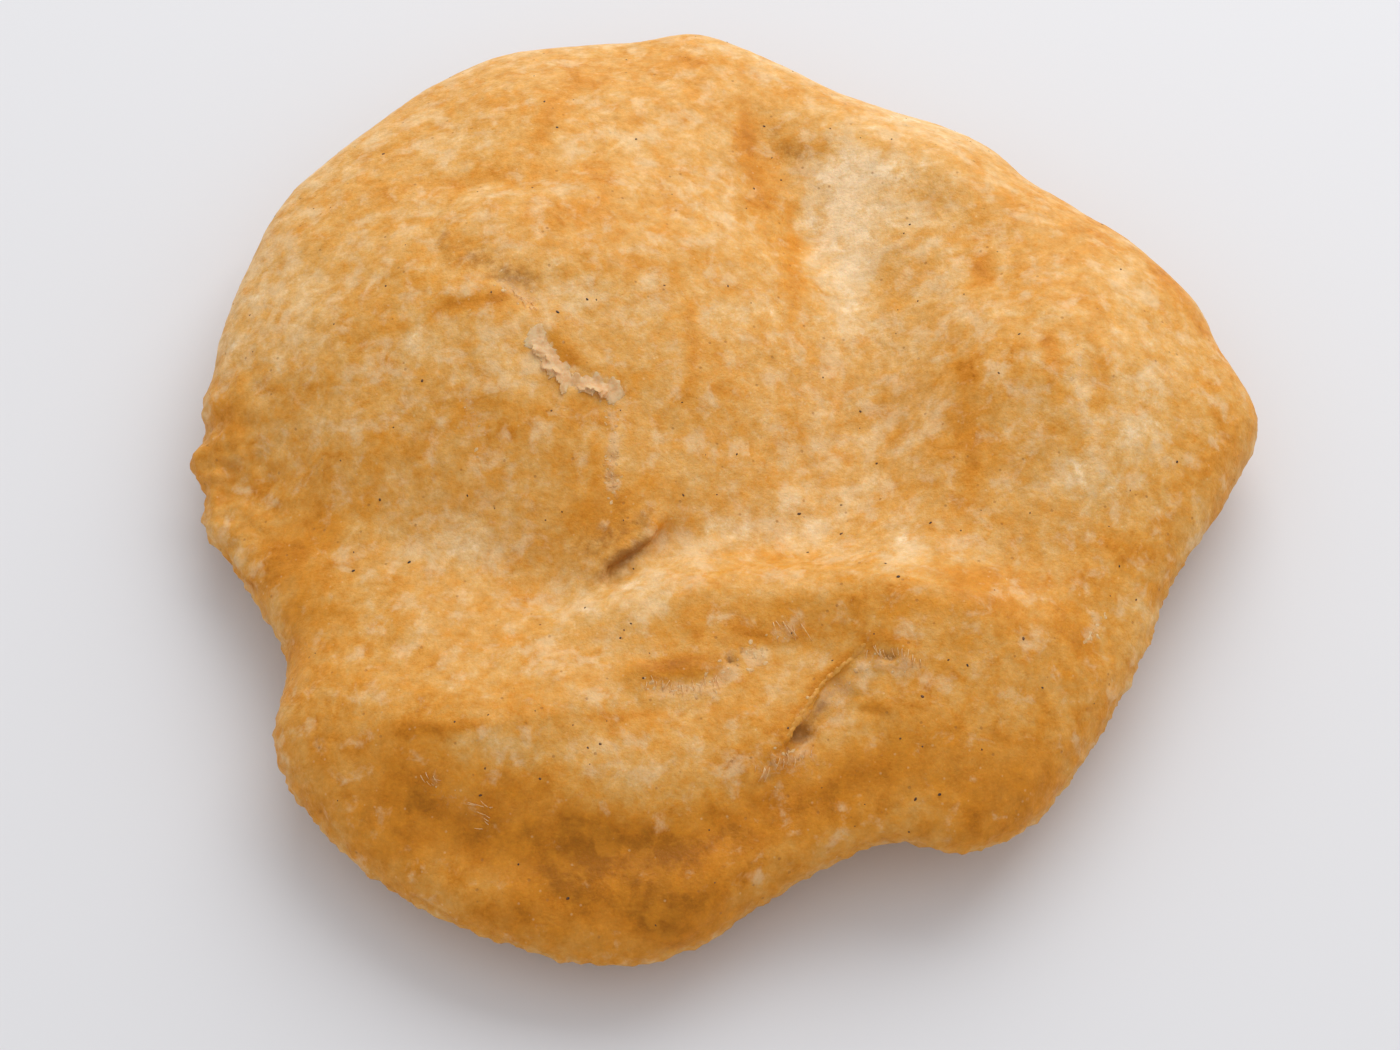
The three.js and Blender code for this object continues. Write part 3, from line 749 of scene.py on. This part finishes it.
for name, (decider, begins, full, most) in SPOTS.items():
    shares[name] = node(tree, "MapRange", SOFT, {
        "Value": decider, "From Min": begins, "From Max": full, "To Max": most}).outputs["Result"]
print("spots of", ", ".join(shares))

# %% [markdown]
# Each spot's colour is mixed over what is there already, the deepest last. At the end the skin is
# made a little darker or lighter in the same hue, as it is thicker in some places than in others.

# %% Lay the colours over each other
COLOURS = {"data_type": "RGBA"}
SHARE, UNDER, OVER, MIXED = 0, 6, 7, 2  # the sockets of a Mix node for colours
THICKNESS_SIZE = 1.5  # mm

crumb = node(tree, "Mix", COLOURS, {
    SHARE: shares["cells"], UNDER: colour("DFB583"), OVER: colour("A97540")}).outputs[MIXED]
crust_colour = ramp.outputs["Color"]
for name, over in {
    "amber": colour("D88C22"), "frost": colour("E8C594"), "crumb": crumb,
    # the bubbles' pale colour is a painted highlight
    # the pockets' brown is painted shade
    "pinholes": colour("9A6530"), "bubbles": colour("F0D2A2"), "pocket_shade": colour("925D24"),
}.items():
    crust_colour = node(tree, "Mix", COLOURS, {
        SHARE: shares[name], UNDER: crust_colour, OVER: over}).outputs[MIXED]
thickness = weighted_sum(tree, 1.0, (cloudiness(tree, place, THICKNESS_SIZE, 4, 0.8, 8), 0.65))
crust_colour = node(tree, "HueSaturation", {}, {
    "Value": thickness, "Color": crust_colour}).outputs["Color"]
print("the crust's colour takes", len(tree.nodes), "nodes")

# %% [markdown]
# The finest relief is a bump, because it is too small for the mesh. Most of the oil has soaked in,
# so the skin mirrors little and is duller where it is frosted. A little light goes through it.

# %% Relief, gloss and the finished crust
OIL_IOR = 1.46
DRY_SHEEN = 0.2  # the shader's usual value is 0.5
BUMP_STRENGTH, BUMP_HEIGHT = 0.6, 0.22 * MM
BLEED = (1.0, 0.5, 0.25)  # red light goes furthest through bread
CRUST_BLEED, CRUST_DEPTH = 0.15, 1.5 * MM

relief = weighted_sum(tree, 0.0, (flecks, 1.0), (grain, 0.6), (shares["pinholes"], -0.6))
bump = node(tree, "Bump", {}, {
    "Height": relief, "Strength": BUMP_STRENGTH, "Distance": BUMP_HEIGHT})
gloss = weighted_sum(tree, 0.5, (blotches, 0.3), (shares["frost"], 0.2))

for name, value in {
    "IOR": OIL_IOR, "Specular IOR Level": DRY_SHEEN, "Subsurface Weight": CRUST_BLEED,
    "Subsurface Radius": BLEED, "Subsurface Scale": CRUST_DEPTH,
}.items():
    shader.inputs[name].default_value = value
tree.links.new(crust_colour, shader.inputs["Base Color"])
tree.links.new(bump.outputs["Normal"], shader.inputs["Normal"])
tree.links.new(gloss, shader.inputs["Roughness"])
crust.data.materials.clear()
crust.data.materials.append(crust_material)
bpy.ops.object.select_all(action="DESELECT")
crust.select_set(True)
bpy.context.view_layer.objects.active = crust
bpy.ops.object.shade_smooth()
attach(crust, "root")
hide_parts("bake")
print("crust:", len(crust.data.polygons), "facets,", crust_material.name)

# %% [markdown]
# ## What stands off the skin
# Torn crumb, threads of gluten, the beaded edge of a fold and flecks of bran are too small for
# the skin's own mesh. Each kind is modelled once, copied with a seeded random hand, laid on the
# skin along a plumb line and joined into one piece.

# %% Helpers for laying things on the skin
PLUMB_HEIGHT = 60  # mm, well above the skin

hand = random.Random(11)
bpy.context.view_layer.update()


def laid(x, y, heading, size, sink=0.0):
    """A matrix that lays a small thing on the skin at x, y in mm and sinks it in a little."""
    _, spot, facing, _ = crust.ray_cast(Vector((x, y, PLUMB_HEIGHT)) * MM, Vector((0, 0, -1)))
    lie = Vector((0, 0, 1)).rotation_difference(facing).to_matrix().to_4x4()
    return (Matrix.Translation(spot - facing * sink * MM) @ lie
            @ Matrix.Rotation(heading, 4, "Z") @ Matrix.Diagonal((*size, 1)))


def along(corners, spacing, spread):
    """Points every spacing mm along a line, moved sideways at random, and the line's heading."""
    line = path(corners, 200)
    travelled = np.concatenate([[0], np.cumsum(np.hypot(*np.diff(line, axis=0).T))])
    for distance in np.arange(0, travelled[-1], spacing):
        i = min(int(np.searchsorted(travelled, distance)), len(line) - 2)
        step = line[i + 1] - line[i]
        aside = hand.uniform(-spread, spread)
        x, y = line[i] + aside * np.array((-step[1], step[0])) / np.hypot(*step)
        yield x, y, math.atan2(step[1], step[0])


print("the skin is", round(laid(0, 0, 0, (1, 1, 1)).translation.z / MM, 1), "mm high in the middle")

# %% [markdown]
# Hundreds of copies become one piece: each gets its own mesh, moved to its place, and all are
# joined. Soft crumb is then melted together by a voxel remesh and rounded by smoothing.

# %% Helpers for making one piece of many
def strewn(model, matrices, name):
    """One piece of copies of a model, each with its own mesh. The model itself is removed."""
    bpy.ops.object.select_all(action="DESELECT")
    for matrix in matrices:
        copy = model.copy()
        copy.data = model.data.copy()
        copy.data.transform(matrix)
        bpy.context.scene.collection.objects.link(copy)
        copy.select_set(True)
    bpy.context.view_layer.objects.active = copy
    bpy.ops.object.join()
    bpy.data.objects.remove(model)
    copy.name = copy.data.name = name
    return copy


def fused(piece, grid, rounds):
    """Melts overlapping lumps into one skin on a grid in mm, then rounds it."""
    bpy.context.view_layer.objects.active = piece
    melt = piece.modifiers.new("melt", "REMESH")
    melt.mode = "VOXEL"
    melt.voxel_size = grid * MM
    bpy.ops.object.modifier_apply(modifier=melt.name)
    soften = piece.modifiers.new("soften", "SMOOTH")
    soften.factor = 0.5
    soften.iterations = rounds
    bpy.ops.object.modifier_apply(modifier=soften.name)


def finished(piece, material):
    """Gives a piece its material, rounds its shading and hands it to the frame."""
    piece.data.materials.clear()
    piece.data.materials.append(material)
    bpy.ops.object.select_all(action="DESELECT")
    piece.select_set(True)
    bpy.context.view_layer.objects.active = piece
    bpy.ops.object.shade_smooth()
    print(piece.name, len(piece.data.polygons), "faces")
    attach(piece, "root")


# %% [markdown]
# The crumb is the bread inside the skin: paler and pinker than crust, dry and matt, with light
# bleeding through its thin walls. The flake is skin that dried without oil, so it is pale and
# dull. The beads of a fold are the opposite: thin skin fried to a glassy amber. Bran is the dark
# husk of the wheat, and lets no light through.

# %% Materials for the small pieces
SHADE_CHANGE = 0.12  # how far from the cloud's middle the darker and the lighter shade are full
SMALL_DEPTH = 1.0 * MM


def small_material(name, dark, light, size, roughness, bleed):
    """Two shades of one stuff in lumps of a size in millimetres."""
    made, tree, surface = new_material(name)
    place = node(tree, "TexCoord", {}, {}).outputs["Object"]
    lumps = node(tree, "MapRange", SOFT, {
        "Value": cloudiness(tree, place, size, 3, 0.6, 9),
        "From Min": -SHADE_CHANGE, "From Max": SHADE_CHANGE}).outputs["Result"]
    shades = node(tree, "Mix", COLOURS, {SHARE: lumps, UNDER: colour(dark), OVER: colour(light)})
    tree.links.new(shades.outputs[MIXED], surface.inputs["Base Color"])
    for socket, value in {
        "Roughness": roughness, "IOR": OIL_IOR, "Subsurface Weight": bleed,
        "Subsurface Radius": BLEED, "Subsurface Scale": SMALL_DEPTH,
    }.items():
        surface.inputs[socket].default_value = value
    return made


# name, darker shade, lighter shade, size of lumps in mm, roughness, share of light bled
crumb_material = small_material("torn_bread_crumb", "D49B5A", "E6B983", 0.7, 0.6, 0.3)
flake_material = small_material("dried_dough_skin", "D39F66", "DEB583", 0.9, 0.6, 0.3)
bead_material = small_material("glassy_amber_crust", "D08A2A", "DF9B3C", 0.9, 0.4, 0.2)
bran_material = small_material("toasted_bran", "2E1C0E", "6B4522", 0.5, 0.6, 0.0)
print(len(bpy.data.materials), "materials in all")

# %% [markdown]
# A tuft of crumb starts as a ball, is pulled about vertex by vertex and pressed flat. Some two
# hundred of them, laid close along the tears and melted together, make the rough open crumb.

# %% Torn crumb
LUMP_RADIUS = 0.5 * MM
LUMP_PULL = 0.14 * MM


def lump(flatness, seed):
    """A ball of 1 mm, pulled about and pressed flat."""
    bpy.ops.object.select_all(action="DESELECT")
    bpy.ops.mesh.primitive_ico_sphere_add(subdivisions=2, radius=LUMP_RADIUS)
    bpy.ops.object.mode_set(mode="EDIT")
    bpy.ops.mesh.select_all(action="SELECT")
    bpy.ops.transform.vertex_random(offset=LUMP_PULL, uniform=0.4, seed=seed)
    bpy.ops.transform.resize(value=(1, 1, flatness), center_override=(0, 0, 0))
    bpy.ops.mesh.normals_make_consistent(inside=False)
    bpy.ops.object.mode_set(mode="OBJECT")
    return bpy.context.object


TUFT_SPACING = 0.13  # mm, on a tear of full strength
CRUMB_GRID = 0.09  # mm
ANY_TURN = 6.3  # radians, a full turn

tufts = []
for corners, width, strength in TORN:
    for x, y, _ in along(corners, TUFT_SPACING / strength**2, width * 1.1):
        size = hand.uniform(0.25, 0.4 + 0.4 * strength)
        stretch = hand.uniform(0.8, 1.8)
        turn = hand.uniform(0, ANY_TURN)
        tufts.append(laid(x, y, turn, (size * stretch, size, size), sink=0.2 * size))
print(len(tufts), "tufts of crumb")
crumbs = strewn(lump(0.6, 3), tufts, "torn_crumb")
fused(crumbs, CRUMB_GRID, 2)
finished(crumbs, crumb_material)

# %% [markdown]
# The flake is a ribbon of skin that blistered off and fell back. It is pale, two or three
# millimetres wide and a quarter of a millimetre thick, so its lumps are wide, flat and close.

# %% The flake
FLAKE = [(-21.5, 7.6), (-20.2, 5.4), (-18.2, 2.9), (-17, 1.7), (-15.4, 2.1), (-13.8, 1.7), (-12, 1.1)]
FLAKE_SPACING, FLAKE_SPREAD = 0.3, 0.55  # mm
flake = strewn(lump(0.3, 5), [
    laid(x, y, heading + hand.uniform(-0.4, 0.4), (1.4, hand.uniform(1.8, 3.2), 0.9), sink=0.05)
    for x, y, heading in along(FLAKE, FLAKE_SPACING, FLAKE_SPREAD)
], "flake")
fused(flake, CRUMB_GRID, 4)
finished(flake, flake_material)

# %% [markdown]
# Where the right fold laps over, its thin edge fried to a line of glassy beads. They are small
# lumps, drawn out along the edge and melted together.

# %% The beaded edge
FOLD_EDGE = [(6.4, -39.4), (7.2, -38), (8.4, -36.1), (9.5, -34.3), (10.7, -32.8), (11.9, -31.9),
             (13.1, -30.8), (14.5, -29.6)]
BEAD_SIZE, BEAD_SPACING, BEAD_SPREAD, BEAD_GRID = 0.4, 0.14, 0.16, 0.08  # mm
beads = []
for x, y, heading in along(FOLD_EDGE, BEAD_SPACING, BEAD_SPREAD):
    size = BEAD_SIZE * hand.uniform(0.5, 1.3)
    turn = heading + hand.uniform(-0.6, 0.6)
    beads.append(laid(x, y, turn, (size * 2, size, size * 0.7), sink=0.05))
edge = strewn(lump(0.8, 7), beads, "beaded_edge")
fused(edge, BEAD_GRID, 2)
finished(edge, bead_material)

# %% [markdown]
# Where the dough tore while still soft, threads of gluten were drawn across the gap. A thread is
# one ring of six points, drawn out step by step in an arch that thins towards its end.

# %% Threads of gluten
THREAD_STEPS = 6
THREAD_RADIUS = 0.055 * MM
THREAD_ARCH = 0.14  # height gained by the first step, in shares of the length
THREAD_WAVE = 0.02
THINNER = 0.9  # at each step

bpy.ops.object.select_all(action="DESELECT")
bpy.ops.mesh.primitive_circle_add(vertices=6, radius=THREAD_RADIUS, fill_type="NGON",
                                  rotation=(math.radians(90), 0, 0))
bpy.ops.object.transform_apply(location=False, rotation=True, scale=False)
thread = bpy.context.object
bpy.ops.object.mode_set(mode="EDIT")
bpy.ops.mesh.select_all(action="SELECT")
ring = Vector((0, 0, 0))
for step in range(THREAD_STEPS):
    rise = THREAD_ARCH * math.cos(math.pi * (step + 0.5) / THREAD_STEPS)
    move = Vector((THREAD_WAVE * (-1) ** step, 1.0 / THREAD_STEPS, rise)) * MM
    bpy.ops.mesh.extrude_region_move(TRANSFORM_OT_translate={"value": move})
    ring += move
    bpy.ops.transform.resize(value=(THINNER, 1, THINNER), center_override=ring)
bpy.ops.mesh.select_all(action="SELECT")
bpy.ops.mesh.normals_make_consistent(inside=False)
bpy.ops.object.mode_set(mode="OBJECT")
print("one thread:", len(thread.data.polygons), "faces")

# %% [markdown]
# The threads hang side by side from a few short lines, roughly square to them, each a little
# longer or shorter and a little astray, like a torn hem.

# %% Hang the threads
THREADS = [
    # corners of the line they hang from, spacing, length, heading in degrees
    ([(-8.6, -33.4), (-6, -33.5), (-3, -33.2), (-1, -32.6)], 0.42, 1.2, -95),
    ([(4.6, -26), (6.2, -26), (7.8, -26.6)], 0.5, 1.6, -60),
    ([(14.8, -30), (16, -30.2), (18.2, -30.8), (20.4, -31.4)], 0.4, 1.3, -85),
    ([(3, -43), (5, -41.9), (7, -41), (9, -40)], 0.5, 1.1, -100),
    ([(-32.4, -43.8), (-31, -44.4)], 0.3, 0.6, -50),
    ([(-26.6, -47), (-25.2, -48.2), (-25.6, -49.4)], 0.35, 0.7, 160),
    ([(-13.2, -6), (-13, -10)], 0.6, 1.1, -10),
    ([(-21.4, 11), (-24, 13)], 0.5, 0.9, -60),
]
HEADING_SPREAD = 16  # degrees
threads = []
for corners, spacing, length, heading in THREADS:
    for x, y, _ in along(corners, spacing, spread=0.5):
        turn = math.radians(heading - 90 + hand.gauss(0, HEADING_SPREAD))
        size = length * hand.uniform(0.5, 1.6)
        aside = hand.uniform(-0.3, 0.3)
        threads.append(laid(x + aside, y, turn, (1, size, size * 0.8), sink=-0.02))
print(len(threads), "threads")
finished(strewn(thread, threads, "gluten_threads"), crumb_material)

# %% [markdown]
# Bran flecks are thin husks, a few tenths of a millimetre across. One starts as a flat prism of
# seven sides, is pulled about vertex by vertex and gets bevelled edges.

# %% One fleck of bran
FLECK_RADIUS, FLECK_DEPTH = 0.5 * MM, 0.3 * MM
FLECK_PULL, FLECK_BEVEL = 0.1 * MM, 0.06 * MM

bpy.ops.object.select_all(action="DESELECT")
bpy.ops.mesh.primitive_cylinder_add(vertices=7, radius=FLECK_RADIUS, depth=FLECK_DEPTH)
fleck = bpy.context.object
bpy.ops.object.mode_set(mode="EDIT")
bpy.ops.mesh.select_all(action="SELECT")
bpy.ops.transform.vertex_random(offset=FLECK_PULL, seed=2)
bpy.ops.mesh.bevel(offset=FLECK_BEVEL, segments=1)
bpy.ops.object.mode_set(mode="OBJECT")
print("one fleck:", len(fleck.data.polygons), "faces")

# %% [markdown]
# Fifteen larger flecks have their own places. The many small ones are strewn over the open skin
# by chance, most of them tiny, as bran is in white flour.

# %% Strew the bran
BRAN = [
    # x, y, size
    (18.3, -22.2, 0.5), (20.6, -35.6, 0.42), (22.3, -45.4, 0.42), (-16.9, -56.4, 0.42),
    (-9.1, -33.3, 0.3), (-11.6, -28.3, 0.3), (-11.2, -27.4, 0.26), (-13.6, -41.1, 0.36),
    (-15.5, -23.8, 0.3), (-38.4, -9.4, 0.36), (-29, -39, 0.3), (-19.9, -44.9, 0.34),
    (15, 3.5, 0.34), (-14.9, -41.6, 0.3), (17.2, -31.2, 0.26),
]
FLECK_COUNT = 130
TINIEST, SIZE_RANGE = 0.12, 0.16  # mm

flecks_laid = [laid(x, y, hand.uniform(0, ANY_TURN), (size, size * 0.7, size), sink=0.02)
               for x, y, size in BRAN]
open_skin = np.nonzero((on_top > 0.95) & (start_facing[:, 2] > 0.4))[0]
for _ in range(FLECK_COUNT):
    x, y = start[open_skin[hand.randrange(len(open_skin))], :2]
    size = TINIEST + SIZE_RANGE * hand.random() ** 2
    turn = hand.uniform(0, ANY_TURN)
    flecks_laid.append(laid(x, y, turn, (size * hand.uniform(1, 2), size, size)))
print(len(flecks_laid), "flecks")
finished(strewn(fleck, flecks_laid, "bran_flecks"), bran_material)
